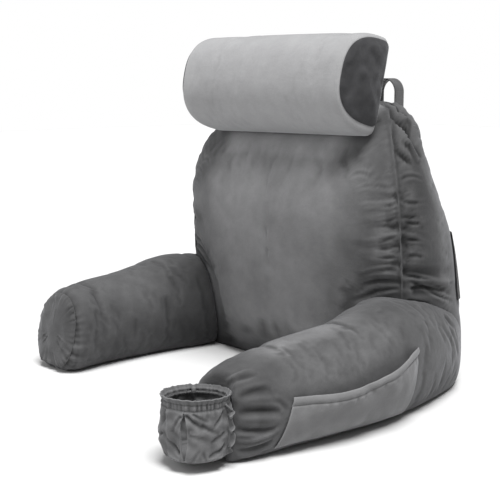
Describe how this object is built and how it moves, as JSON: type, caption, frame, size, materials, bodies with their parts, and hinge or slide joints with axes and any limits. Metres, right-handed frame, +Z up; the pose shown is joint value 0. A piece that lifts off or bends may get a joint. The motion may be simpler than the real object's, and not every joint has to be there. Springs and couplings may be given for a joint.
{
  "type": "reading pillow with arms",
  "caption": "Stuffed backrest with arm bolsters, a neck roll, a side pocket, a gathered cup pouch, a carry loop and a rear pocket.",
  "frame": {"origin": "middle of the backrest's flat underside, on the surface it stands on", "axes": "+Z up; -Y towards the reader's feet, the way the arms point; +X to the reader's left, the side with the cup pouch"},
  "size_m": [0.7296, 0.6723, 0.5961],
  "materials": {
    "grey_velour": "short brushed pile, soft sheen",
    "light_velour": "short brushed pile, soft sheen",
    "dark_velour": "short brushed pile, soft sheen",
    "black_mesh": "plain dark cloth"
  },
  "bodies": {
    "root": {"back_cushion": "grey_velour", "arm_left": "grey_velour", "arm_left_end_panel": "grey_velour", "arm_right": "grey_velour", "side_pocket": "grey_velour", "cup_pouch": "grey_velour", "pouch_ruffle_outer": "grey_velour", "pouch_ruffle_inner": "grey_velour", "neck_roll": "light_velour", "neck_roll_end_left": "dark_velour", "neck_roll_end_right": "dark_velour", "carry_handle": "grey_velour", "rear_pocket": "black_mesh"}
  },
  "joints": []
}
